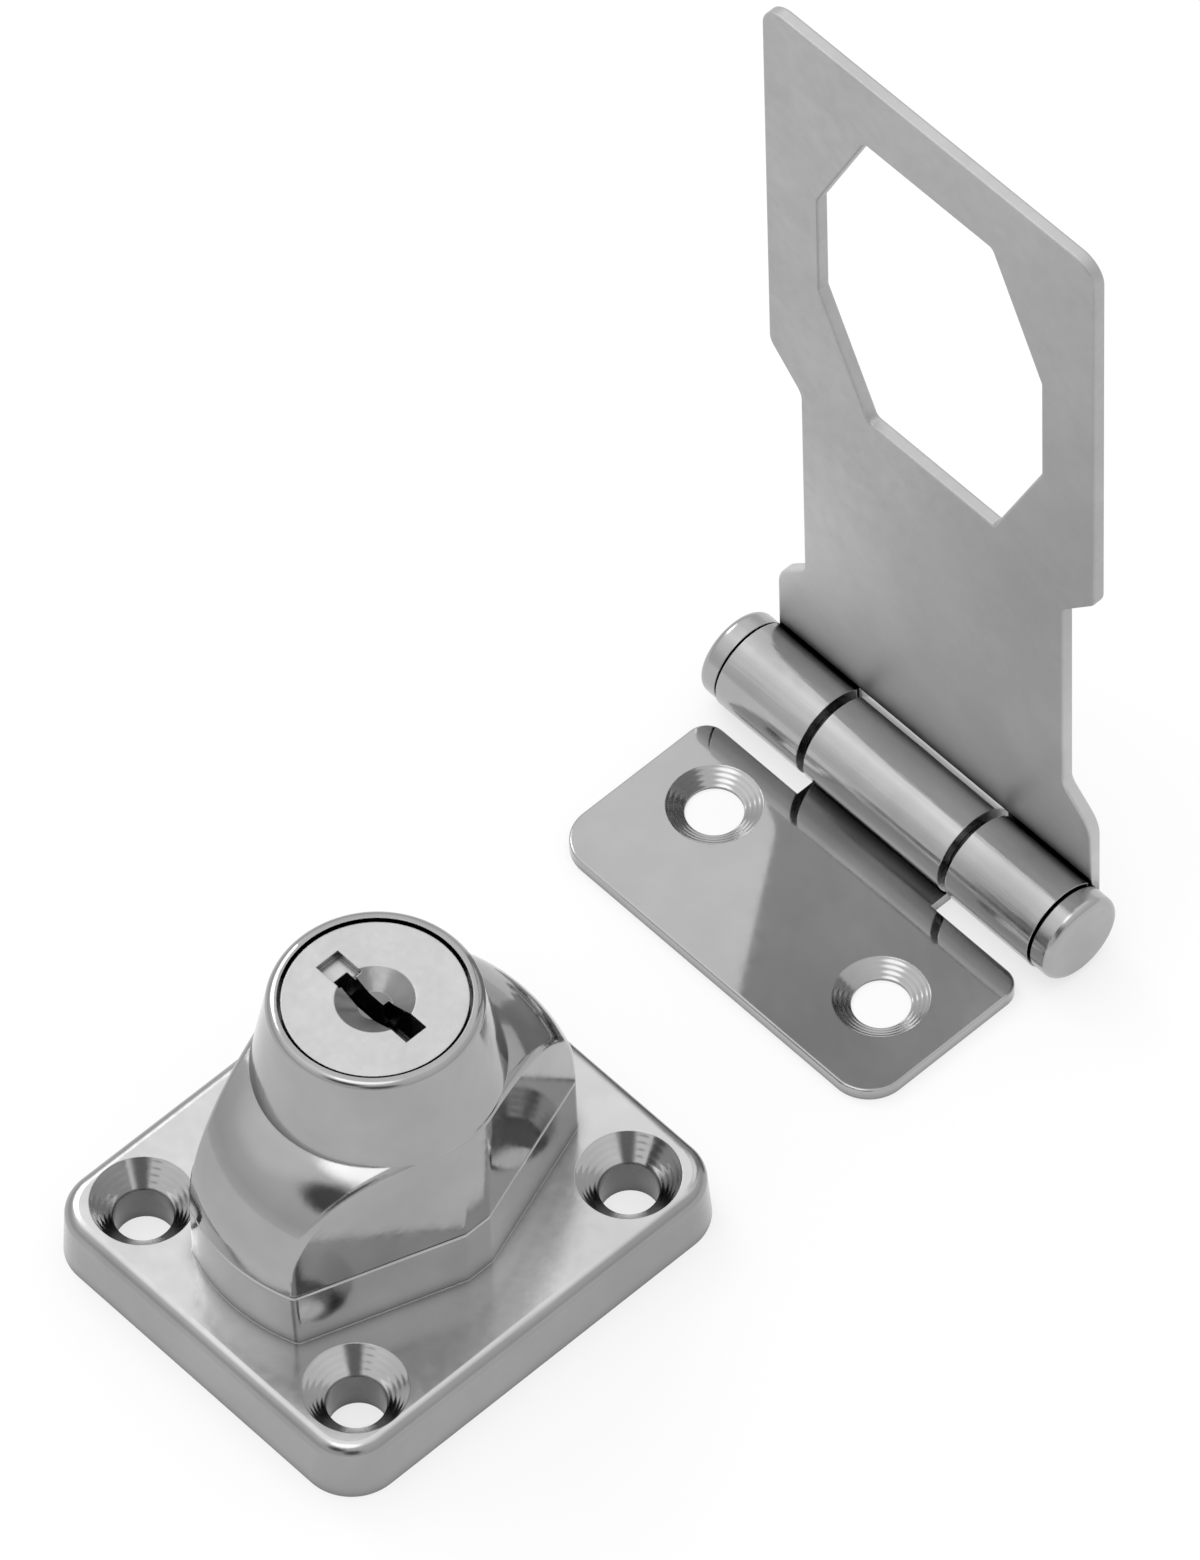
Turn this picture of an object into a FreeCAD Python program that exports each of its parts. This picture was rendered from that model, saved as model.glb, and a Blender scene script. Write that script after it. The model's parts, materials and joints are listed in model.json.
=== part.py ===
"""Keyed hasp lock: a twist-knob lock on a square base, and the slotted hasp that closes over it.

X runs along the hinge, Y from the lock to the hinge, Z up from the surface that both halves are screwed to.
The origin is the centre of the lock's back face. At rest the knob lies along Y, so that the strap is
free, and the strap stands square to the surface.
"""
import FreeCAD
import Part
import math
import os

V = FreeCAD.Vector
TOP = V(0, 0, 1)
ALONG_X = V(1, 0, 0)

# How far cutters reach past what they cut, and how closely edges are told apart
overcut = 1.0
near = 0.01

# Base plate, with the fixed boss that the knob stands on
plate_width = 37.2
plate_length = 42.8
plate_thickness = 5.8
plate_corner = 4.5
plate_draft = 0.35
plate_edge_round = 1.2
boss_height = 6.2
boss_draft = 0.12
boss_root = 1.0
screw_span_x = 25.6
screw_span_y = 30.2
screw_hole_radius = 2.5
countersink_radius = 4.4
countersink_depth = 2.1

# Twist knob, seen from above a disc cut by four slanted flats and two narrow side facets
knob_radius = 16.8
flat_slant = 19.2
flat_distance = 11.1
facet_distance = 11.3
facet_corner = 0.5
outer_corner = 0.5
flat_overrun = 2.5
knob_corner = 0.9
seam_round = 0.2
knob_clearance = 0.15
locked_turn = -90.0
end_wall_height = 2.15
dome_radius = 9.85
dome_top_radius = 8.0
turret_height = 20.25
turret_foot_radius = 10.45
turret_ledge = 0.05
turret_root = 1.0
turret_top_radius = 8.9
turret_edge_round = 0.8

# Hub of the knob, held in the base from behind
hub_radius = 7.0
hub_fit = 0.08
hub_wall = 1.8
hub_end = 0.5
ring_groove_depth = 0.65
ring_groove_start = 0.45
retaining_ring_thickness = 0.8
retaining_ring_width = 2.2
retaining_ring_gap = 3.0
washer_thickness = 0.3
washer_wave = 0.22
washer_waves = 3
washer_points_per_wave = 8
washer_slack = 0.3
washer_width = 1.9
recess_radius = 9.6
recess_depth = 2.6
end_play = 0.02

# Key cylinder
face_radius = 7.6
face_thickness = 1.2
face_sink = 0.2
face_clearance = 0.3
sleeve_wall = 1.55
sleeve_fit = 0.03
sleeve_groove_share = 0.6
sleeve_groove_rise = 1.0
plug_radius = 5.6
plug_fit = 0.06
cylinder_roof = 1.15
keyway_wide_reach = 4.9
keyway_narrow_reach = 3.9
keyway_step_place = 0.4
keyway_width = 2.2
keyway_narrow_width = 1.6
key_notch_reach = 5.6
key_notch_length = 2.8
key_notch_width = 2.4
key_notch_depth = 0.7
dimple_radius = 3.3
dimple_floor_radius = 1.4
dimple_depth = 0.9
clip_thickness = 0.6
clip_groove_depth = 0.7
clip_reach = 1.0
clip_gap = 4.0
plug_tail = 1.3

# Wafer tumblers
wafer_count = 5
wafer_thickness = 0.9
wafer_width = 6.4
wafer_slack = 0.05
wafer_inset = 0.08
first_wafer_drop = 3.4
last_wafer_rise = 1.4
wafer_window_length = 7.4
wafer_window_width = 2.6
spring_pocket_length = 2.6
spring_pocket_width = 1.3
spring_play = 0.02
spring_wire_radius = 0.11
spring_turns = 4
spring_steps = 8

# Locking bolt, driven by the pin on the end of the plug
bolt_travel = 2.0
bolt_width = 4.2
bolt_thickness = 2.6
bolt_tip_inset = 0.35
bolt_tail = 3.4
bolt_slack = 0.1
bolt_floor = 5.0
drive_pin_radius = 0.9
drive_pin_slack = 0.15
drive_pin_gap = 0.5
drive_well_radius = 3.4
bolt_tip_round = 0.6
bolt_notch_room = 0.3
keeper_thickness = 1.2
keeper_fit = 0.03

# Hasp
lock_to_hinge = 58.7
sheet = 1.2
barrel_radius = 4.25
hasp_width = 38.0
leaf_depth = 17.8
leaf_barrel_gap = 0.65
leaf_front_corner = 3.6
leaf_back_corner = 1.9
leaf_hole_left_side = 12.0
leaf_hole_left_rise = 12.0
leaf_hole_right_side = 11.8
leaf_hole_right_rise = 8.4
leaf_hole_radius = 2.5
leaf_countersink_radius = 4.1
leaf_dish_depth = 0.95
strap_reach = 84.65
strap_tip_corner = 2.4
neck_width = 30.7
neck_start = 37.2
neck_taper = 4.0
neck_taper_round = 1.8
lobe_inset = 0.4
lobe_top = 10.2
lobe_height = 3.2
lobe_round = 3.4
foot_corner = 0.05
sheet_edge_round = 0.22
slot_half_width = 12.9
slot_end_half = 7.3
slot_side_half = 5.9
slot_near = 40.8
slot_tip_wall = 7.55
slot_corner = 0.6

# Hinge
middle_knuckle = 16.0
knuckle_gap = 0.9
pin_fit = 0.08
roll_slit = 0.25
window_clearance = 0.25
cap_thickness = 2.0
cap_radius = 4.1
cap_round = 0.7
cap_clearance = 0.3
spigot_radius = 1.9
spigot_length = 1.3

# Levels and radii that follow from the sizes above
plate_top = plate_thickness
seam = plate_top + boss_height + knob_clearance
turret_top = seam + turret_height
dome_level = seam + end_wall_height
dome_centre = knob_radius - dome_radius
dome_top = dome_level + math.sqrt(dome_radius ** 2 - (dome_top_radius - dome_centre) ** 2)
turret_foot = dome_level + math.sqrt(dome_radius ** 2 - (turret_foot_radius - dome_centre) ** 2)
cylinder_foot = seam + cylinder_roof
face_top = turret_top - face_sink
face_foot = face_top - face_thickness
sleeve_radius = plug_radius + plug_fit + sleeve_wall
spring_coil_radius = wafer_thickness / 2.0 + wafer_slack - spring_wire_radius - spring_play
sleeve_top = face_foot - end_play
sleeve_foot = cylinder_foot + plug_tail
wafer_pitch = (face_foot - first_wafer_drop - sleeve_foot - last_wafer_rise) / (wafer_count - 1)
cylinder_bore = sleeve_radius + sleeve_fit
face_bore = face_radius + face_clearance
hub_cavity = hub_radius - hub_wall
base_bore = hub_radius + hub_fit
bolt_top = bolt_floor + bolt_thickness
hinge_height = barrel_radius
roll_inside = barrel_radius - sheet
pin_radius = roll_inside - pin_fit
strap_back = lock_to_hinge + barrel_radius
strap_face = strap_back - sheet
leaf_back = lock_to_hinge - barrel_radius - leaf_barrel_gap
leaf_front = leaf_back - leaf_depth
lobe_width = hasp_width - 2.0 * lobe_inset
slot_far = strap_reach - slot_tip_wall


def drum(radius, foot, top, x=0.0, y=0.0):
    """Upright cylinder between two levels."""
    return Part.makeCylinder(radius, top - foot, V(x, y, foot), TOP)


def block(low, high):
    """Box between two corners."""
    size = high.sub(low)
    return Part.makeBox(size.x, size.y, size.z, low)


def rounded_loop(points, radii):
    """Closed wire through the points, with each corner rounded by its own radius."""
    corners = []
    for index, corner in enumerate(points):
        back = points[index - 1].sub(corner)
        ahead = points[(index + 1) % len(points)].sub(corner)
        half = back.getAngle(ahead) / 2.0
        back.normalize()
        ahead.normalize()
        middle = back.add(ahead)
        middle.normalize()
        radius = radii[index]
        run = radius / math.tan(half)
        start = corner.add(V(back).multiply(run))
        end = corner.add(V(ahead).multiply(run))
        crown = corner.add(middle.multiply(radius / math.sin(half) - radius))
        corners.append((start, crown, end))
    edges = []
    for index, (start, crown, end) in enumerate(corners):
        following = corners[(index + 1) % len(corners)][0]
        edges.append(Part.Arc(start, crown, end).toShape())
        edges.append(Part.makeLine(end, following))
    return Part.Wire(edges)


def octagon_points(half_length, half_width, end_half, side_half, place):
    """Corners of the drawn-out octagon, set in space by the given function of its two coordinates."""
    quarter = [(end_half, half_length), (half_width, side_half)]
    right = quarter + [(x, -y) for x, y in reversed(quarter)]
    left = [(-x, y) for x, y in reversed(right)]
    return [place(x, y) for x, y in right + left]


def flats_section(level, flat, facet, corner):
    """Outline at one level of the room between the flats, which reaches past the turned ends."""
    slant = math.radians(flat_slant)
    reach = knob_radius + flat_overrun
    side_half = (flat - facet * math.cos(slant)) / math.sin(slant)
    end_half = (flat - reach * math.sin(slant)) / math.cos(slant)
    points = octagon_points(reach, facet, end_half, side_half, lambda x, y: V(x, y, level))
    outer = outer_corner
    return rounded_loop(points, [outer, corner, corner, outer, outer, corner, corner, outer])


def turned(profile, top_centre):
    """Solid turned around the upright axis from an outline that starts on the axis at its foot."""
    edges = profile + [Part.makeLine(top_centre, V(0, 0, profile[0].Vertexes[0].Z))]
    return Part.Face(Part.Wire(edges)).revolve(V(0, 0, 0), TOP, 360)


def ring(outer, inner, foot, top):
    """Upright tube."""
    return drum(outer, foot, top).cut(drum(inner, foot, top))


def countersunk_hole(x, y, top, hole_radius, head_radius, head_depth):
    """Cutter for a screw hole through a plate from the level given down to the back face."""
    shaft = drum(hole_radius, -overcut, top + overcut, x, y)
    mouth_radius = head_radius + overcut * (head_radius - hole_radius) / head_depth
    foot = V(x, y, top - head_depth)
    head = Part.makeCone(hole_radius, mouth_radius, head_depth + overcut, foot, TOP)
    return shaft.fuse(head)


def screw_places():
    """Centres of the four screws of the base plate."""
    return [(sx * screw_span_x / 2.0, sy * screw_span_y / 2.0) for sx in (-1, 1) for sy in (-1, 1)]


def plate_section(level, inset):
    """Rounded square of the base plate at one level."""
    x = plate_width / 2.0 - inset
    y = plate_length / 2.0 - inset
    points = [V(x, y, level), V(x, -y, level), V(-x, -y, level), V(-x, y, level)]
    return rounded_loop(points, [plate_corner - inset] * 4)


def bolt_notch(turn):
    """Pocket in the base's bore for the tip of the bolt, at one position of the knob."""
    room = bolt_notch_room
    reach = hub_radius - bolt_tip_inset + bolt_travel + room
    half = bolt_width / 2.0 + room
    low = V(-half, -reach, bolt_floor - room)
    high = V(half, 0, bolt_top + room)
    pocket = block(low, high)
    pocket.rotate(V(0, 0, 0), TOP, turn)
    return pocket


def level_edge(edge):
    """Whether an edge lies in one level."""
    return edge.BoundBox.ZLength < near


def end_radius(level):
    """Radius of the turned ends at a level of the knob."""
    if level < dome_level:
        return knob_radius
    return dome_centre + math.sqrt(dome_radius ** 2 - (level - dome_level) ** 2)


def upright_corners(body, low, high):
    """Edges between the flats and the turned ends, from one level up to another."""
    edges = []
    for edge in body.Edges:
        middle = edge.valueAt((edge.FirstParameter + edge.LastParameter) / 2.0)
        radius = math.hypot(middle.x, middle.y)
        if low < middle.z < high and radius > end_radius(middle.z) - near and not level_edge(edge):
            edges.append(edge)
    return edges


def boss():
    """Fixed foot of the knob, with the knob's own outline."""
    foot = plate_top - boss_root
    top = plate_top + boss_height
    lower = flats_section(foot, flat_distance + boss_draft, facet_distance + boss_draft, facet_corner)
    upper = flats_section(top, flat_distance, facet_distance, facet_corner)
    body = Part.makeLoft([lower, upper], True, True).common(drum(knob_radius, foot, top))
    body = body.makeFillet(knob_corner, upright_corners(body, foot, top))
    rim = [e for e in body.Edges if level_edge(e) and e.BoundBox.ZMin > top - near]
    return body.makeFillet(seam_round, rim)


def base_plate():
    """Cast base with its raised boss, four countersunk holes, hub bore and bolt pockets."""
    body = Part.makeLoft([plate_section(0.0, 0.0), plate_section(plate_thickness, plate_draft)], True, True)
    top_edges = [e for e in body.Edges if min(v.Z for v in e.Vertexes) > plate_thickness - near]
    body = body.makeFillet(plate_edge_round, top_edges).fuse(boss())
    for x, y in screw_places():
        hole = countersunk_hole(x, y, plate_top, screw_hole_radius, countersink_radius, countersink_depth)
        body = body.cut(hole)
    body = body.cut(drum(base_bore, -overcut, seam))
    body = body.cut(drum(recess_radius, -overcut, recess_depth))
    for turn in (0.0, locked_turn):
        body = body.cut(bolt_notch(turn))
    return body.removeSplitter()


def knob_wings():
    """Turning part of the knob below its turret: a turned, domed body cut by the flats."""
    lean = (flat_distance - turret_foot_radius - turret_ledge) / (turret_foot - seam)
    facet_lean = (facet_distance - turret_foot_radius - turret_ledge) / (turret_foot - seam)
    rise = dome_top + turret_ledge - seam
    flat_end = flat_distance - rise * lean
    facet_end = facet_distance - rise * facet_lean
    lower = flats_section(seam, flat_distance, facet_distance, facet_corner)
    upper = flats_section(seam + rise, flat_end, facet_end, dome_radius)
    room = Part.makeLoft([lower, upper], True, True)
    turn = math.acos((dome_top_radius - dome_centre) / dome_radius) / 2.0
    crown = V(dome_centre + dome_radius * math.cos(turn), 0, dome_level + dome_radius * math.sin(turn))
    wall_top = V(knob_radius, 0, dome_level)
    edge = V(dome_top_radius, 0, dome_top)
    profile = [
        Part.makeLine(V(0, 0, seam), V(knob_radius, 0, seam)),
        Part.makeLine(V(knob_radius, 0, seam), wall_top),
        Part.Arc(wall_top, crown, edge).toShape(),
        Part.makeLine(edge, V(0, 0, dome_top)),
    ]
    return turned(profile, V(0, 0, dome_top)).common(room)


def turret():
    """Round tower of the knob, with its softened rim."""
    round_centre = turret_top - turret_edge_round
    rim_inner = turret_top_radius - turret_edge_round
    half_way = turret_edge_round * math.sqrt(0.5)
    crown = V(rim_inner + half_way, 0, round_centre + half_way)
    root = turret_foot - turret_root
    foot = V(turret_foot_radius, 0, turret_foot)
    side_top = V(turret_top_radius, 0, round_centre)
    profile = [
        Part.makeLine(V(0, 0, root), V(turret_foot_radius, 0, root)),
        Part.makeLine(V(turret_foot_radius, 0, root), foot),
        Part.makeLine(foot, side_top),
        Part.Arc(side_top, crown, V(rim_inner, 0, turret_top)).toShape(),
        Part.makeLine(V(rim_inner, 0, turret_top), V(0, 0, turret_top)),
    ]
    return turned(profile, V(0, 0, turret_top))


def bolt_channel():
    """Way of the bolt through one side of the hub."""
    half = bolt_width / 2.0 + bolt_slack
    low = V(-half, -hub_radius - overcut, bolt_floor - bolt_slack)
    return block(low, V(half, 0, bolt_top + bolt_slack))


def twist_knob():
    """Cast knob with the cylinder's bore above and the hollow hub below."""
    wings = knob_wings()
    wings = wings.makeFillet(knob_corner, upright_corners(wings, seam, turret_foot))
    rim = [e for e in wings.Edges if level_edge(e) and e.BoundBox.ZMax < seam + near]
    wings = wings.makeFillet(seam_round, rim)
    body = wings.fuse([turret(), drum(hub_radius, hub_end, cylinder_foot)])
    body = body.cut(drum(cylinder_bore, cylinder_foot - knob_clearance, face_foot - face_clearance))
    body = body.cut(drum(face_bore, face_foot - face_clearance, turret_top + overcut))
    body = body.cut(drum(drive_well_radius, bolt_floor, cylinder_foot))
    body = body.cut(drum(hub_cavity, 0.0, bolt_top + bolt_slack))
    body = body.cut(bolt_channel())
    groove_foot = hub_end + ring_groove_start
    groove_top = groove_foot + retaining_ring_thickness + end_play
    body = body.cut(ring(hub_radius + overcut, hub_radius - ring_groove_depth, groove_foot, groove_top))
    return body


def retaining_ring():
    """Open spring ring in the groove of the hub, behind the base."""
    foot = hub_end + ring_groove_start + end_play / 2.0
    inner = hub_radius - ring_groove_depth + end_play
    body = ring(inner + retaining_ring_width, inner, foot, foot + retaining_ring_thickness)
    half = retaining_ring_gap / 2.0
    reach = inner + retaining_ring_width + overcut
    top = foot + retaining_ring_thickness + overcut
    return body.cut(block(V(-half, 0, foot - overcut), V(half, reach, top)))


def wave_washer():
    """Waved spring washer between the retaining ring and the floor of the recess."""
    inner = hub_radius + washer_slack
    outer = inner + washer_width
    foot = hub_end + ring_groove_start + retaining_ring_thickness + end_play
    room = recess_depth - foot
    middle = foot + room / 2.0
    steps = washer_waves * washer_points_per_wave

    def rail(radius, lift):
        points = []
        for step in range(steps):
            turn = 2.0 * math.pi * step / steps
            height = middle + lift + washer_wave * math.cos(washer_waves * turn)
            points.append(V(radius * math.cos(turn), radius * math.sin(turn), height))
        curve = Part.BSplineCurve()
        curve.interpolate(points, PeriodicFlag=True)
        return Part.Wire(curve.toShape())

    half = washer_thickness / 2.0
    rails = [rail(inner, -half), rail(outer, -half), rail(outer, half), rail(inner, half)]
    faces = []
    for index, first in enumerate(rails):
        faces.extend(Part.makeRuledSurface(first, rails[(index + 1) % 4]).Faces)
    return Part.makeSolid(Part.makeShell(faces))


def cylinder_sleeve():
    """Fixed housing of the cylinder, with the two grooves that the wafers lock into."""
    body = ring(sleeve_radius, plug_radius + plug_fit, sleeve_foot, sleeve_top)
    half = wafer_width / 2.0 + wafer_slack
    depth = plug_radius + sleeve_wall * sleeve_groove_share
    top = face_foot - first_wafer_drop + wafer_thickness
    foot = sleeve_foot + sleeve_groove_rise
    return body.cut(block(V(-depth, -half, foot), V(depth, half, top)))


def wafer_levels():
    """Underside of each wafer, from the top down."""
    return [face_foot - first_wafer_drop - index * wafer_pitch for index in range(wafer_count)]


def keyway_blocks():
    """The stepped keyway in two blocks, and the shallow notch at its narrow end."""
    low = -keyway_width / 2.0
    key_foot = wafer_levels()[-1] - wafer_thickness
    step = keyway_step_place
    wide = block(V(step, low, key_foot), V(keyway_wide_reach, -low, turret_top))
    narrow_high = V(step, low + keyway_narrow_width, turret_top)
    narrow = block(V(-keyway_narrow_reach, low, key_foot), narrow_high)
    notch_low = V(-key_notch_reach, -low - key_notch_width, face_top - key_notch_depth)
    notch = block(notch_low, V(key_notch_length - key_notch_reach, -low, turret_top))
    return [wide, narrow, notch]


def key_plug():
    """Turning plug with its face disc, keyway, wafer slots, clip groove and eccentric drive pin."""
    body = drum(plug_radius, cylinder_foot, face_foot)
    body = body.fuse(drum(face_radius, face_foot, face_top))
    dimple_floor = V(0, 0, face_top - dimple_depth)
    body = body.cut(Part.makeCone(dimple_floor_radius, dimple_radius, dimple_depth, dimple_floor, TOP))
    for opening in keyway_blocks():
        body = body.cut(opening)
    half = wafer_width / 2.0 + wafer_slack
    for level in wafer_levels():
        low = V(-plug_radius, -half, level - wafer_slack)
        high = V(plug_radius, half, level + wafer_thickness + wafer_slack)
        body = body.cut(block(low, high))
    groove_foot = sleeve_foot - end_play - clip_thickness - end_play
    groove_top = sleeve_foot - end_play
    groove = ring(plug_radius + overcut, plug_radius - clip_groove_depth, groove_foot, groove_top)
    body = body.cut(groove)
    offset = bolt_travel / 2.0
    return body.fuse(drum(drive_pin_radius, bolt_floor + drive_pin_gap, cylinder_foot, offset, offset))


def plug_clip():
    """Open clip in the plug's groove, which keeps the plug in its sleeve."""
    foot = sleeve_foot - 1.5 * end_play - clip_thickness
    inner = plug_radius - clip_groove_depth + end_play
    outer = plug_radius + clip_reach
    body = ring(outer, inner, foot, foot + clip_thickness)
    half = clip_gap / 2.0
    top = foot + clip_thickness + overcut
    return body.cut(block(V(-half, 0, foot - overcut), V(half, outer + overcut, top)))


def spring_side(index):
    """The wafers' springs lie on the two sides in turn."""
    return 1.0 if index % 2 == 0 else -1.0


def wafer(index):
    """One wafer tumbler, its window for the key and its pocket for the spring."""
    level = wafer_levels()[index]
    half = wafer_width / 2.0
    slab = block(V(-plug_radius, -half, level), V(plug_radius, half, level + wafer_thickness))
    body = slab.common(drum(plug_radius - wafer_inset, level, level + wafer_thickness))
    window_length = wafer_window_length / 2.0
    window_width = wafer_window_width / 2.0
    low = V(-window_length, -window_width, level)
    body = body.cut(block(low, V(window_length, window_width, level + wafer_thickness)))
    side = spring_side(index)
    outer = half * side
    inner = (half - spring_pocket_width) * side
    pocket_low = V(-spring_pocket_length / 2.0, min(outer, inner), level)
    pocket_high = V(spring_pocket_length / 2.0, max(outer, inner), level + wafer_thickness)
    return body.cut(block(pocket_low, pocket_high))


def wafer_spring(index):
    """Small coil spring in the wafer's pocket, pushing along the key's width."""
    length = spring_pocket_length - 2.0 * spring_wire_radius - end_play
    middle = V(0, (wafer_width - spring_pocket_width) / 2.0 * spring_side(index), 0)
    middle.z = wafer_levels()[index] + wafer_thickness / 2.0
    steps = spring_turns * spring_steps
    sections = []
    for step in range(steps + 1):
        share = step / steps
        turn = 2.0 * math.pi * spring_turns * share
        along = (share - 0.5) * length
        corners = []
        for radial, axial in ((-1, 0), (0, -1), (1, 0), (0, 1)):
            radius = spring_coil_radius + radial * spring_wire_radius
            place = V(along + axial * spring_wire_radius, radius * math.cos(turn), radius * math.sin(turn))
            corners.append(middle.add(place))
        sections.append(Part.makePolygon(corners + corners[:1]))
    return Part.makeLoft(sections, True, True)


def locking_bolt():
    """Sliding bolt with a round-cornered tip and the cross slot that the drive pin moves in."""
    tip = -hub_radius + bolt_tip_inset
    half = bolt_width / 2.0
    corners = [(half, bolt_tail), (half, tip), (-half, tip), (-half, bolt_tail)]
    points = [V(x, y, bolt_floor) for x, y in corners]
    outline = rounded_loop(points, [bolt_slack, bolt_tip_round, bolt_tip_round, bolt_slack])
    body = Part.Face(outline).extrude(V(0, 0, bolt_thickness))
    reach = drive_pin_radius + drive_pin_slack
    offset = bolt_travel / 2.0
    slot_low = V(offset - reach, offset - reach, bolt_floor - overcut)
    slot_high = V(half + overcut, offset + reach, bolt_top + overcut)
    return body.cut(block(slot_low, slot_high))


def bolt_keeper():
    """Disc staked into the hub under the bolt."""
    top = bolt_floor - bolt_slack
    return drum(hub_cavity - keeper_fit, top - keeper_thickness, top)


def roll(start, end):
    """Rolled knuckle along X between two places, a tube around the hinge line."""
    centre = V(start, lock_to_hinge, hinge_height)
    outer = Part.makeCylinder(barrel_radius, end - start, centre, ALONG_X)
    return outer.cut(Part.makeCylinder(roll_inside, end - start, centre, ALONG_X))


def hasp_leaf():
    """Fixed leaf: flat plate with a tongue that is rolled into the middle knuckle."""
    x = hasp_width / 2.0
    points = [V(x, leaf_back, 0), V(x, leaf_front, 0), V(-x, leaf_front, 0), V(-x, leaf_back, 0)]
    radii = [leaf_back_corner, leaf_front_corner, leaf_front_corner, leaf_back_corner]
    body = Part.Face(rounded_loop(points, radii)).extrude(V(0, 0, sheet))
    top_rim = [e for e in body.Edges if level_edge(e) and e.BoundBox.ZMin > sheet / 2.0]
    body = body.makeFillet(sheet_edge_round, top_rim)
    half = middle_knuckle / 2.0
    tongue = block(V(-half, leaf_back - sheet, 0), V(half, lock_to_hinge, sheet))
    knuckle = roll(-half, half)
    slit_low = V(-half, lock_to_hinge - barrel_radius, 0)
    slit_high = V(half, lock_to_hinge, sheet + roll_slit)
    knuckle = knuckle.cut(block(slit_low, slit_high))
    body = body.fuse([tongue, knuckle]).removeSplitter()
    holes = [(-leaf_hole_left_side, leaf_hole_left_rise), (leaf_hole_right_side, leaf_hole_right_rise)]
    for x, rise in holes:
        place = leaf_front + rise
        hole = countersunk_hole(x, place, sheet, leaf_hole_radius, leaf_countersink_radius, leaf_dish_depth)
        body = body.cut(hole)
    return body


def strap_point(x, reach):
    """Point of the standing strap's face, by its distance from the hinge line."""
    return V(x, strap_face, hinge_height + reach)


def strap_outline():
    """Blade of the strap: wide slotted end, tapered neck, and lobes over the hinge."""
    wide = hasp_width / 2.0
    neck = neck_width / 2.0
    lobe = lobe_width / 2.0
    side = [
        (wide, strap_reach, strap_tip_corner),
        (wide, neck_start + neck_taper, neck_taper_round),
        (neck, neck_start, neck_taper_round),
        (neck, lobe_top + lobe_height, neck_taper_round),
        (lobe, lobe_top, lobe_round),
    ]
    foot = [(lobe, 0.0, foot_corner), (-lobe, 0.0, foot_corner)]
    loop = side + foot + [(-x, reach, radius) for x, reach, radius in reversed(side)]
    return rounded_loop([strap_point(x, reach) for x, reach, _ in loop], [radius for _, _, radius in loop])


def slot_outline():
    """Octagonal slot, which passes over the knob while the strap swings shut."""
    middle = (slot_near + slot_far) / 2.0
    half = (slot_far - slot_near) / 2.0
    points = octagon_points(
        half, slot_half_width, slot_end_half, slot_side_half, lambda x, y: strap_point(x, middle + y)
    )
    return rounded_loop(points, [slot_corner] * 8)


def hasp_strap():
    """Swinging strap with its two rolled knuckles."""
    through = V(0, sheet, 0)
    body = Part.Face(strap_outline()).extrude(through)
    body = body.cut(Part.Face(slot_outline()).extrude(through))
    rims = [e for e in body.Edges if e.BoundBox.YLength < sheet / 2.0]
    above_foot = [e for e in rims if e.BoundBox.ZMax > hinge_height + sheet]
    body = body.makeFillet(sheet_edge_round, above_foot)
    inner = middle_knuckle / 2.0 + knuckle_gap
    outer = lobe_width / 2.0
    for start, end in ((-outer, -inner), (inner, outer)):
        slit_low = V(start, strap_face - roll_slit, hinge_height)
        slit_high = V(end, strap_back, hinge_height + barrel_radius)
        body = body.fuse(roll(start, end).cut(block(slit_low, slit_high)))
    window_reach = math.sqrt((barrel_radius + window_clearance) ** 2 - roll_inside ** 2)
    window_low = V(-inner, strap_face - overcut, hinge_height - overcut)
    window_high = V(inner, strap_back + overcut, hinge_height + window_reach)
    return body.cut(block(window_low, window_high)).removeSplitter()


def cap_disc(start):
    """Domed disc over one end of the barrel, drawn from its inner face outwards along X."""
    disc = Part.makeCylinder(cap_radius, cap_thickness, V(start, lock_to_hinge, hinge_height), ALONG_X)
    outer_edges = [e for e in disc.Edges if abs(e.CenterOfMass.x - start - cap_thickness) < near]
    return disc.makeFillet(cap_round, [e for e in outer_edges if e.Closed])


def hinge_pin():
    """Hinge pin with its own head on the right and a turned-down spigot on the left."""
    face = lobe_width / 2.0 + cap_clearance
    rod = Part.makeCylinder(pin_radius, 2.0 * face, V(-face, lock_to_hinge, hinge_height), ALONG_X)
    spigot_start = V(-face - spigot_length, lock_to_hinge, hinge_height)
    spigot = Part.makeCylinder(spigot_radius, spigot_length, spigot_start, ALONG_X)
    return rod.fuse([spigot, cap_disc(face)]).removeSplitter()


def pin_end_cap():
    """Cap pressed on the pin's spigot."""
    face = lobe_width / 2.0 + cap_clearance
    cap = cap_disc(face)
    socket = Part.makeCylinder(spigot_radius, spigot_length, V(face, lock_to_hinge, hinge_height), ALONG_X)
    return cap.cut(socket).mirror(V(0, 0, 0), ALONG_X)


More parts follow.
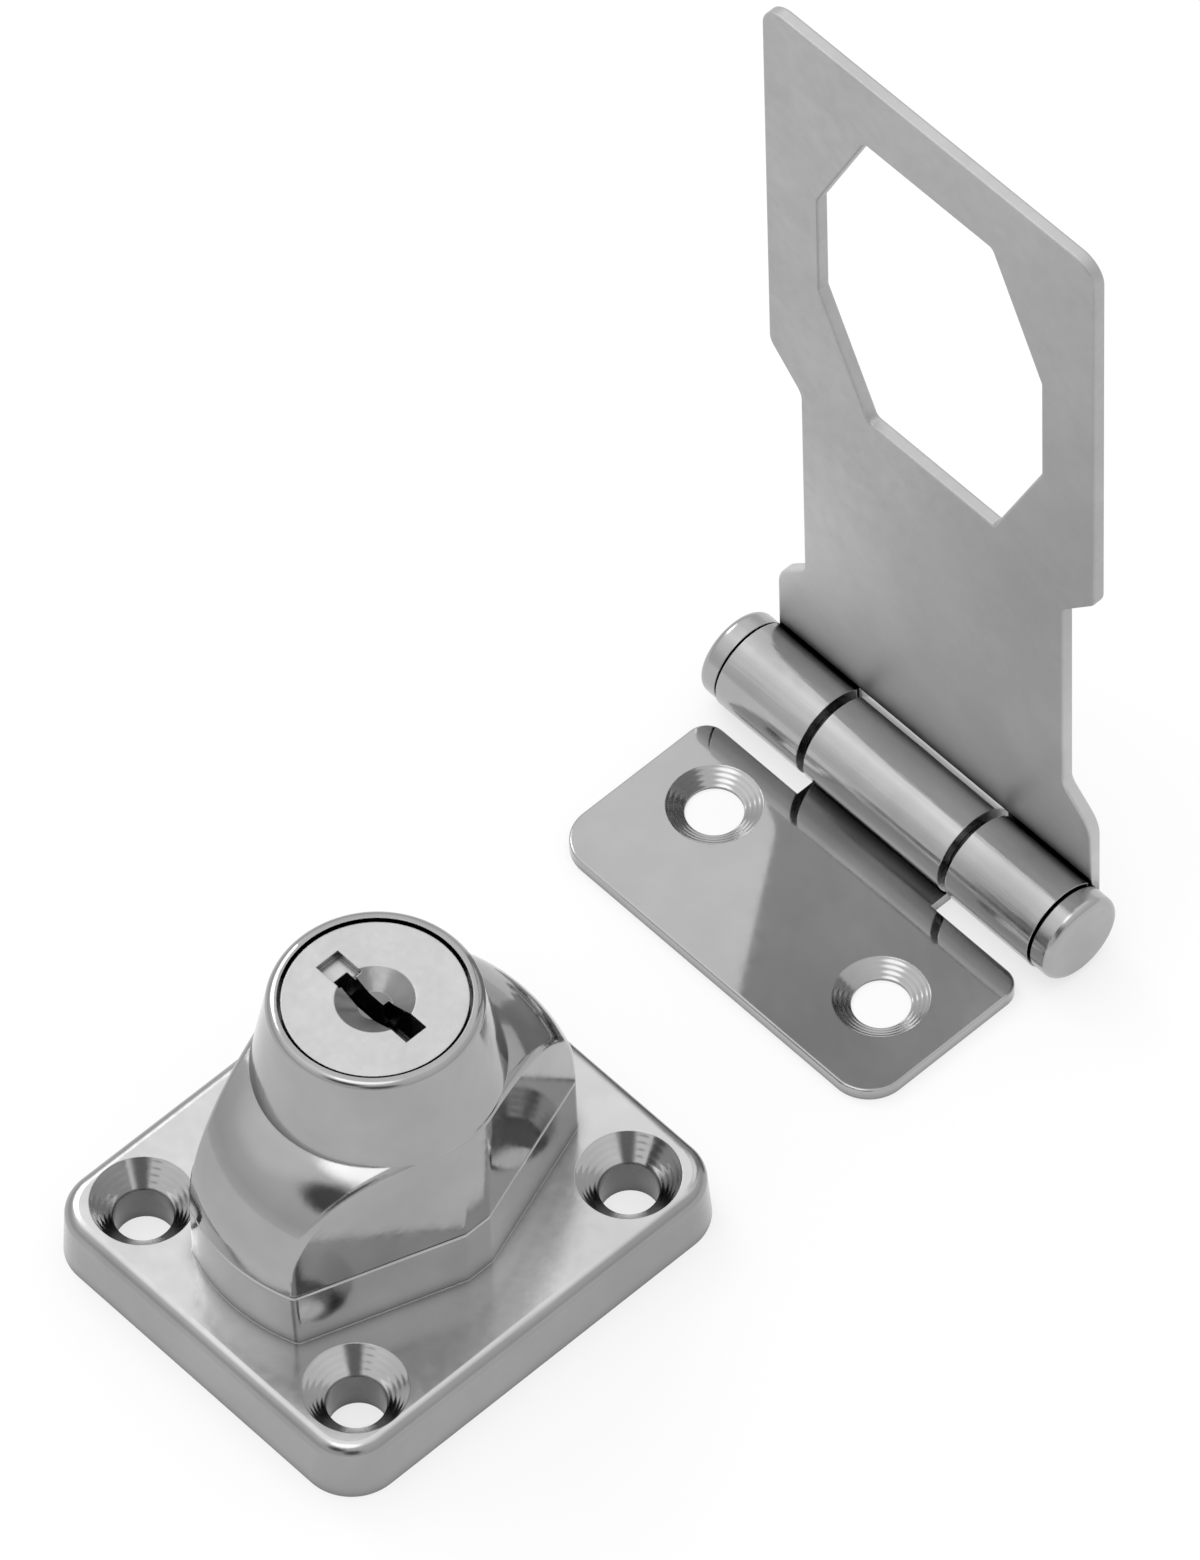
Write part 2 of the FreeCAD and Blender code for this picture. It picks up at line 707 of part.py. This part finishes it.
def pieces():
    """Every piece of the lock and the hasp by name."""
    named = {
        "base_plate": base_plate(),
        "twist_knob": twist_knob(),
        "retaining_ring": retaining_ring(),
        "wave_washer": wave_washer(),
        "cylinder_sleeve": cylinder_sleeve(),
        "key_plug": key_plug(),
        "plug_clip": plug_clip(),
        "locking_bolt": locking_bolt(),
        "bolt_keeper": bolt_keeper(),
        "hasp_leaf": hasp_leaf(),
        "hasp_strap": hasp_strap(),
        "hinge_pin": hinge_pin(),
        "pin_end_cap": pin_end_cap(),
    }
    for index in range(wafer_count):
        named["wafer_%d" % (index + 1)] = wafer(index)
        named["wafer_spring_%d" % (index + 1)] = wafer_spring(index)
    return named


os.makedirs("parts", exist_ok=True)
for name, shape in pieces().items():
    shape.exportStep("parts/%s.step" % name)
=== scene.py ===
"""Studio scene of the keyed hasp lock: camera, light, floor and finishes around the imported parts."""
import json
import math
from collections import namedtuple

import bpy
from mathutils import Matrix, Vector


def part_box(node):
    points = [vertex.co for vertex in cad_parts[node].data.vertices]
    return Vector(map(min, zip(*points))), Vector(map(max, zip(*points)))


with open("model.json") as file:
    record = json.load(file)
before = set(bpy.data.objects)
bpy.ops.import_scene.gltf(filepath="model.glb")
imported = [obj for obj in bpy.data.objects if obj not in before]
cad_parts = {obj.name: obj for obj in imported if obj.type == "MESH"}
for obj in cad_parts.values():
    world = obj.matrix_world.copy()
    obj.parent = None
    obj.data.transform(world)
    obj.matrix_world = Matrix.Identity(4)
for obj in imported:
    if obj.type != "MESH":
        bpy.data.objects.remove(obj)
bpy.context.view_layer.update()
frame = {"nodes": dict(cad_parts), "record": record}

# The photograph's view of the part: size and the part's origin in pixels, angles, and metres
photo_width = 1200.0
photo_height = 1560.0
view_azimuth = math.radians(48.583)
view_elevation = math.radians(53.686)
view_roll = math.radians(-2.1395)
view_distance = 1.40239
pixels_per_metre = 12254.35
origin_pixel_x = 387.85
origin_pixel_y = 1228.40
near_clip = 0.05
far_clip = 20.0

# Floor, and the share of its plain white that a camera or a mirror sees on it
floor_size = 4.0
floor_level = 0.0
floor_grey = 0.95
floor_glow = 0.7

# Weak soft lamp for the shadow
lamp_place = (-0.75, 0.15, 0.75)
lamp_aim = (0.0, 0.03, 0.02)
lamp_size = 0.4
lamp_power = 1.6

# Grey of the studio tent against height, from the horizon at 0 to straight above at 1
tent_greys = [(0.0, 0.85), (0.2, 0.75), (0.55, 0.9), (1.0, 1.0)]

# Bright and dim patches of the tent: direction, cosines of full and of no effect, and factor
tent_patches = [
    ((-0.35, 0.30, 0.89), 0.93, 0.70, 1.22),
    ((0.03, -0.18, 0.98), 0.99, 0.95, 2.40),
    ((-0.44, -0.39, 0.81), 0.97, 0.86, 1.22),
    ((0.17, -0.68, 0.70), 0.99, 0.95, 0.14),
    ((0.66, -0.57, 0.50), 0.99, 0.935, 0.20),
]

# Noise of every metal: usual scale of the fine noise, how much coarser the clouds of grey are, their
# details, the middle span of each that is stretched to its full range, and the height of the relief
usual_grain = 900.0
usual_bump = 0.02
cloud_coarseness = 6.0
cloud_detail = 3.0
fine_detail = 4.0
cloud_span = (0.35, 0.65)
fine_span = (0.3, 0.7)
relief_height = 0.0002

# Painted shade in cavities and at contacts: how far it reaches, its grey, and the openness of full and of no
# painted shade
painted_shade_reach = 0.0014
painted_shade_tone = 0.02
painted_shade_span = (0.15, 0.75)

# Edges: radius of their softening, the grey of the painted highlight along them, its share, and the cosine
# of the edge's turn at which it starts and is full
edge_round = 0.00012
painted_edge_highlight_tone = 0.72
painted_edge_highlight_share = 0.6
painted_edge_highlight_span = (0.985, 0.85)

# Rays that feel for cavities and edges
feeler_rays = 3

# Upward lean of a face at which it counts as upright and as level, and the soft rim of a round zone
upright_span = (0.88, 0.995)
zone_rim = 0.02

# Zones of the lock: countersinks, screw bores, boss and key dimple
millimetre = 0.001
screw_pattern = next(m["dims"] for m in frame["record"]["mounts"] if m["name"] == "lock_screw_holes")
screw_x = screw_pattern["spacing_x_mm"] * millimetre / 2.0
screw_y = screw_pattern["spacing_y_mm"] * millimetre / 2.0
lock_screws = [(x, y) for y in (-screw_y, screw_y) for x in (-screw_x, screw_x)]
lock_countersink = 0.0044
screw_bore = 0.00262
boss_reach = 0.0176
key_dimple = 0.0033
lock_centre = (0.0, 0.0)

# Zones of the hasp: knuckles, the leaf's countersinks and bow, and the heights over which painted light
# fades in on the strap's neck
pin_low, pin_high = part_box("hinge_pin")
hinge_line = (0.0, (pin_low.y + pin_high.y) / 2.0, (pin_low.z + pin_high.z) / 2.0)
knuckle_radius = 0.0046
leaf_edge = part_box("hasp_leaf")[0].y
leaf_screws = [(-0.012, leaf_edge + 0.012), (0.0118, leaf_edge + 0.0084)]
leaf_countersink = 0.0041
leaf_bow = (-0.028, -0.089, 0.0)
painted_light_neck_heights = (0.044, 0.016)

# Tool rings in the countersinks, and drawn streaks along the knuckles
ring_pitch = 0.0004
ring_depth = 0.0000035
streak_stretch = (0.05, 1.0, 1.0)
streak_grain = 2200.0
streak_detail = 2.0
streak_depth = 0.00002

# Part of a surface with its own grey and gloss: share is a function that builds the zone's nodes
Zone = namedtuple("Zone", "share tone rough")


def add_camera():
    """Camera that sees the part as the photograph does."""
    back = Vector((
        math.sin(view_azimuth) * math.cos(view_elevation),
        -math.cos(view_azimuth) * math.cos(view_elevation),
        math.sin(view_elevation),
    ))
    level_right = Vector((math.cos(view_azimuth), math.sin(view_azimuth), 0.0))
    level_up = back.cross(level_right)
    right = math.cos(view_roll) * level_right + math.sin(view_roll) * level_up
    up = back.cross(right)
    shift_right = (photo_width / 2.0 - origin_pixel_x) / pixels_per_metre
    shift_up = (origin_pixel_y - photo_height / 2.0) / pixels_per_metre
    place = right * shift_right + up * shift_up + back * view_distance
    data = bpy.data.cameras.new("camera")
    data.lens = data.sensor_width * pixels_per_metre * view_distance / photo_height
    data.clip_start = near_clip
    data.clip_end = far_clip
    camera = bpy.data.objects.new("camera", data)
    camera.matrix_world = Matrix((
        (right.x, up.x, back.x, place.x),
        (right.y, up.y, back.y, place.y),
        (right.z, up.z, back.z, place.z),
        (0.0, 0.0, 0.0, 1.0),
    ))
    bpy.context.scene.collection.objects.link(camera)
    bpy.context.scene.camera = camera


def grey(level):
    """Opaque colour of one grey."""
    return (level, level, level, 1.0)


class Nodes:
    """Short way to build a node tree."""

    def __init__(self, tree):
        self.tree = tree
        tree.nodes.clear()

    def add(self, kind, inputs=None, **settings):
        """New node; inputs holds constants or the output sockets of other nodes."""
        node = self.tree.nodes.new(kind)
        for key, value in settings.items():
            setattr(node, key, value)
        for key, value in (inputs or {}).items():
            if isinstance(value, bpy.types.NodeSocket):
                self.tree.links.new(value, node.inputs[key])
            else:
                node.inputs[key].default_value = value
        return node

    def number(self, operation, *values, **settings):
        """Result of a maths node."""
        node = self.add("ShaderNodeMath", dict(enumerate(values)), operation=operation, **settings)
        return node.outputs[0]

    def vector(self, operation, *values):
        """Outputs of a vector maths node: Vector or Value, as the operation gives."""
        return self.add("ShaderNodeVectorMath", dict(enumerate(values)), operation=operation).outputs

    def parts(self, vector):
        """X, Y and Z of a vector."""
        return self.add("ShaderNodeSeparateXYZ", {"Vector": vector}).outputs

    def span(self, value, source, target=(0.0, 1.0), blend="LINEAR"):
        """Value carried from one span to another and held at its ends."""
        inputs = {"Value": value, "From Min": source[0], "From Max": source[1]}
        inputs.update({"To Min": target[0], "To Max": target[1]})
        return self.add("ShaderNodeMapRange", inputs, interpolation_type=blend).outputs[0]

    def noise(self, place, scale, detail):
        """Level of a cloudy noise."""
        return self.add("ShaderNodeTexNoise", {"Vector": place, "Scale": scale, "Detail": detail}).outputs[0]

    def mix_colours(self, share, first, second):
        """First colour where share is 0, second where it is 1."""
        return self.add("ShaderNodeMixRGB", {"Fac": share, "Color1": first, "Color2": second}).outputs[0]

    def mix_numbers(self, share, first, second):
        """First number where share is 0, second where it is 1."""
        return self.add("ShaderNodeMix", {"Factor": share, "A": first, "B": second}).outputs[0]

    def relief(self, normal, height, distance, strength=1.0):
        """Normal that is tilted by a height."""
        inputs = {"Strength": strength, "Distance": distance, "Height": height, "Normal": normal}
        return self.add("ShaderNodeBump", inputs).outputs[0]

    def ramp(self, factor, stops):
        """Colour ramp of greys from pairs of place and level."""
        node = self.add("ShaderNodeValToRGB", {"Fac": factor})
        while len(node.color_ramp.elements) < len(stops):
            node.color_ramp.elements.new(0.5)
        for element, (place, level) in zip(node.color_ramp.elements, stops):
            element.position = place
            element.color = grey(level)
        return node.outputs["Color"]


def world_light():
    """Soft studio tent, brightest above the part, with dim patches to both sides of the camera."""
    world = bpy.data.worlds.new("studio")
    bpy.context.scene.world = world
    world.use_nodes = True
    nodes = Nodes(world.node_tree)
    direction = nodes.add("ShaderNodeTexCoord").outputs["Generated"]
    level = nodes.ramp(nodes.parts(direction)["Z"], tent_greys)
    for aim, inner, outer, gain in tent_patches:
        facing = nodes.vector("DOT_PRODUCT", direction, Vector(aim).normalized())["Value"]
        factor = nodes.span(facing, (outer, inner), (1.0, gain), "SMOOTHSTEP")
        scaled = nodes.add("ShaderNodeVectorMath", {0: level, "Scale": factor}, operation="SCALE")
        level = scaled.outputs["Vector"]
    background = nodes.add("ShaderNodeBackground", {"Color": level, "Strength": 1.0})
    nodes.add("ShaderNodeOutputWorld", {"Surface": background.outputs["Background"]})


def floor_material():
    """White sweep that keeps the soft shadow of the part."""
    material = bpy.data.materials.new("floor_white")
    material.use_nodes = True
    nodes = Nodes(material.node_tree)
    rays = nodes.add("ShaderNodeLightPath").outputs
    seen = nodes.number("ADD", rays["Is Camera Ray"], rays["Is Glossy Ray"])
    seen = nodes.number("ADD", seen, rays["Is Transmission Ray"])
    share = nodes.number("MULTIPLY", seen, floor_glow, use_clamp=True)
    matt = nodes.add("ShaderNodeBsdfDiffuse", {"Color": grey(floor_grey)}).outputs[0]
    glow = nodes.add("ShaderNodeEmission", {"Color": grey(1.0), "Strength": 1.0}).outputs[0]
    mixed = nodes.add("ShaderNodeMixShader", {0: share, 1: matt, 2: glow}).outputs[0]
    nodes.add("ShaderNodeOutputMaterial", {"Surface": mixed})
    return material


def add_floor():
    """Plain floor under the part."""
    half = floor_size / 2.0
    sides = [(-half, -half), (half, -half), (half, half), (-half, half)]
    mesh = bpy.data.meshes.new("floor")
    mesh.from_pydata([(x, y, floor_level) for x, y in sides], [], [(0, 1, 2, 3)])
    mesh.materials.append(floor_material())
    plane = bpy.data.objects.new("floor", mesh)
    bpy.context.scene.collection.objects.link(plane)


def add_lamp():
    """Square area lamp that faces the part."""
    data = bpy.data.lights.new("key", "AREA")
    data.shape = "SQUARE"
    data.size = lamp_size
    data.energy = lamp_power
    lamp = bpy.data.objects.new("key", data)
    lamp.location = lamp_place
    lamp.rotation_mode = "QUATERNION"
    lamp.rotation_quaternion = (Vector(lamp_aim) - Vector(lamp_place)).to_track_quat("-Z", "Y")
    bpy.context.scene.collection.objects.link(lamp)


def nearest_centre(nodes, coordinates, centres):
    """Level distance from the nearest of the given places."""
    parts = nodes.parts(coordinates["Object"])
    level = nodes.add("ShaderNodeCombineXYZ", {"X": parts["X"], "Y": parts["Y"]}).outputs[0]
    nearest = None
    for x, y in centres:
        distance = nodes.vector("DISTANCE", level, (x, y, 0.0))["Value"]
        nearest = distance if nearest is None else nodes.number("MINIMUM", nearest, distance)
    return nearest


def inside_radius(nodes, distance, radius):
    """1 where a distance is less than the radius, with a narrow soft rim."""
    rim = (radius * (1.0 - zone_rim), radius * (1.0 + zone_rim))
    return nodes.span(distance, rim, (1.0, 0.0))


def round_spots(centres, radius):
    """Zone of round spots, seen from above, around the given places."""
    def share(nodes, coordinates):
        return inside_radius(nodes, nearest_centre(nodes, coordinates, centres), radius)
    return share


def painted_shade_upright_faces(nodes, coordinates):
    """Zone of the upright faces and rounded rims, which get painted shade."""
    return nodes.span(nodes.parts(coordinates["Normal"])["Z"], upright_span, (1.0, 0.0))


def painted_shade_boss_faces(nodes, coordinates):
    """Zone of the boss's upright faces, inside the rim of the plate, which get a lighter painted shade."""
    near = round_spots([lock_centre], boss_reach)(nodes, coordinates)
    return nodes.number("MULTIPLY", near, painted_shade_upright_faces(nodes, coordinates))


def neck(nodes, coordinates):
    """Zone of painted light on the strap's neck, which fades in towards the hinge."""
    return nodes.span(nodes.parts(coordinates["Object"])["Z"], painted_light_neck_heights, blend="SMOOTHSTEP")


def knuckles(nodes, coordinates):
    """Zone of the rolled knuckles around the hinge line."""
    parts = nodes.parts(coordinates["Object"])
    across = nodes.add("ShaderNodeCombineXYZ", {"Y": parts["Y"], "Z": parts["Z"]}).outputs[0]
    return inside_radius(nodes, nodes.vector("DISTANCE", across, hinge_line)["Value"], knuckle_radius)


def turned_rings(nodes, coordinates, centres, radius):
    """Height of the fine tool rings inside the given places."""
    distance = nearest_centre(nodes, coordinates, centres)
    wave = nodes.number("SINE", nodes.number("MULTIPLY", distance, math.tau / ring_pitch))
    return nodes.number("MULTIPLY", wave, inside_radius(nodes, distance, radius))


def drawn_streaks(nodes, coordinates):
    """Height of the fine lines that run along the rolled knuckles."""
    place = nodes.vector("MULTIPLY", coordinates["Object"], streak_stretch)["Vector"]
    height = nodes.noise(place, streak_grain, streak_detail)
    return nodes.number("MULTIPLY", height, knuckles(nodes, coordinates))


def metal(name, tone, rough, grain=usual_grain, bump=usual_bump, zones=(),
          bow=None, rings=None, streaks=False):
    """Metal whose grey and gloss vary finely, with painted shade in its cavities, softened edges and a
    painted highlight along them.

    tone and rough are pairs of the lowest and highest grey and roughness. bow is the slope of a
    slight bow of the sheet, rings holds the places and radius of turned countersinks, and streaks
    draws fine lines along the knuckles.
    """
    material = bpy.data.materials.new(name)
    material.use_nodes = True
    nodes = Nodes(material.node_tree)
    coordinates = nodes.add("ShaderNodeTexCoord").outputs
    place = coordinates["Object"]
    cloud = nodes.noise(place, grain / cloud_coarseness, cloud_detail)
    fine = nodes.noise(place, grain, fine_detail)

    colour = nodes.ramp(cloud, list(zip(cloud_span, tone)))
    roughness = nodes.span(fine, fine_span, rough)
    for zone in zones:
        share = zone.share(nodes, coordinates)
        zone_colour = nodes.ramp(cloud, list(zip(cloud_span, zone.tone)))
        zone_roughness = nodes.span(fine, fine_span, zone.rough)
        colour = nodes.mix_colours(share, colour, zone_colour)
        roughness = nodes.mix_numbers(share, roughness, zone_roughness)

    # Painted shade: the colour is darkened towards near black where ambient occlusion finds cavities,
    # creases and contacts
    shade = nodes.add("ShaderNodeAmbientOcclusion", {"Distance": painted_shade_reach}, samples=feeler_rays)
    clear = nodes.span(shade.outputs["AO"], painted_shade_span)
    colour = nodes.mix_colours(clear, grey(painted_shade_tone), colour)

    normal = nodes.add("ShaderNodeBevel", {"Radius": edge_round}, samples=feeler_rays).outputs[0]
    smooth = nodes.add("ShaderNodeNewGeometry").outputs["Normal"]
    turn = nodes.vector("DOT_PRODUCT", normal, smooth)["Value"]
    # Painted highlight: the colour is lightened along sharp edges, where the bevel normal turns from the
    # smooth normal
    painted_edge_highlight = nodes.span(turn, painted_edge_highlight_span, (0.0, painted_edge_highlight_share))
    colour = nodes.mix_colours(painted_edge_highlight, colour, grey(painted_edge_highlight_tone))

    if bow:
        normal = nodes.relief(normal, nodes.vector("DOT_PRODUCT", place, bow)["Value"], 1.0)
    if rings:
        normal = nodes.relief(normal, turned_rings(nodes, coordinates, *rings), ring_depth)
    if streaks:
        normal = nodes.relief(normal, drawn_streaks(nodes, coordinates), streak_depth)
    normal = nodes.relief(normal, fine, relief_height, bump)
    shader = nodes.add("ShaderNodeBsdfPrincipled", {
        "Base Color": colour,
        "Metallic": 1.0,
        "Roughness": roughness,
        "Normal": normal,
    })
    nodes.add("ShaderNodeOutputMaterial", {"Surface": shader.outputs[0]})
    return material


def dress(node_names, material):
    """Gives CAD nodes their finish."""
    for name in node_names:
        mesh = frame["nodes"][name].data
        mesh.materials.clear()
        mesh.materials.append(material)


def finish_base():
    """Cast chrome with painted shade on its upright sides and rims, lighter painted shade on the boss,
    turned countersinks and painted shade in the screw bores.
    """
    zones = [
        # Painted shade: upright faces and rims get a darker grey than the top, and the boss's faces a little
        # less dark
        Zone(painted_shade_upright_faces, tone=(0.31, 0.34), rough=(0.14, 0.22)),
        Zone(painted_shade_boss_faces, tone=(0.45, 0.49), rough=(0.12, 0.19)),
        Zone(round_spots(lock_screws, lock_countersink), tone=(0.50, 0.58), rough=(0.10, 0.17)),
        # Painted shade: the screw bores get a dark grey
        Zone(round_spots(lock_screws, screw_bore), tone=(0.13, 0.18), rough=(0.25, 0.35)),
    ]
    dress(["base_plate"], metal(
        "cast_chrome_base", tone=(0.52, 0.57), rough=(0.15, 0.23), bump=0.04, zones=zones,
        rings=(lock_screws, lock_countersink),
    ))


def finish_knob():
    """Cast chrome, glossier than the base."""
    dress(["twist_knob"], metal(
        "cast_chrome_knob", tone=(0.345, 0.385), rough=(0.08, 0.14), bump=0.03,
    ))


def finish_leaf():
    """Polished and slightly bowed sheet, with duller countersinks and a drawn knuckle."""
    zones = [
        Zone(round_spots(leaf_screws, leaf_countersink), tone=(0.37, 0.45), rough=(0.12, 0.20)),
        Zone(knuckles, tone=(0.41, 0.46), rough=(0.12, 0.20)),
    ]
    dress(["hasp_leaf"], metal(
        "sheet_chrome_leaf", tone=(0.40, 0.43), rough=(0.05, 0.09), bump=0.004, zones=zones,
        bow=leaf_bow, rings=(leaf_screws, leaf_countersink), streaks=True,
    ))


def finish_strap():
    """Satin sheet with painted light making it paler at the neck, and glossier drawn knuckles."""
    zones = [
        # Painted light: the neck gets a paler grey than the rest of the strap
        Zone(neck, tone=(0.57, 0.61), rough=(0.48, 0.56)),
        Zone(knuckles, tone=(0.39, 0.44), rough=(0.14, 0.22)),
    ]
    dress(["hasp_strap"], metal(
        "sheet_chrome_strap", tone=(0.45, 0.48), rough=(0.48, 0.56), zones=zones, streaks=True,
    ))


def finish_plug():
    """Fine-grained chrome with painted shade in the key dimple."""
    # Painted shade: the key dimple gets a dark grey
    zones = [Zone(round_spots([lock_centre], key_dimple), tone=(0.17, 0.23), rough=(0.18, 0.26))]
    dress(["key_plug"], metal(
        "plug_chrome", tone=(0.48, 0.52), rough=(0.20, 0.28), grain=1500.0, bump=0.05, zones=zones,
    ))


def finish_pin():
    """Chrome of the hinge pin and its cap."""
    dress(["hinge_pin", "pin_end_cap"], metal("pin_chrome", tone=(0.38, 0.43), rough=(0.16, 0.24)))


def finish_inside():
    """Plain greys of the spring steel, bolt steel and brass pieces, which are inside or behind the lock."""
    springs = [name for name in frame["nodes"] if name.startswith("wafer_spring_")]
    wafers = [name for name in frame["nodes"] if name.startswith("wafer_") and name not in springs]
    spring_steel = metal("spring_steel", tone=(0.30, 0.38), rough=(0.25, 0.35))
    dress(["retaining_ring", "wave_washer", "plug_clip"] + springs, spring_steel)
    dress(["locking_bolt", "bolt_keeper"], metal("bolt_steel", tone=(0.36, 0.44), rough=(0.22, 0.32)))
    dress(["cylinder_sleeve"] + wafers, metal("brass_parts", tone=(0.40, 0.48), rough=(0.20, 0.30)))


add_camera()
world_light()
add_floor()
add_lamp()
finish_base()
finish_knob()
finish_leaf()
finish_strap()
finish_plug()
finish_pin()
finish_inside()

bpy.context.scene.view_settings.view_transform = "Standard"
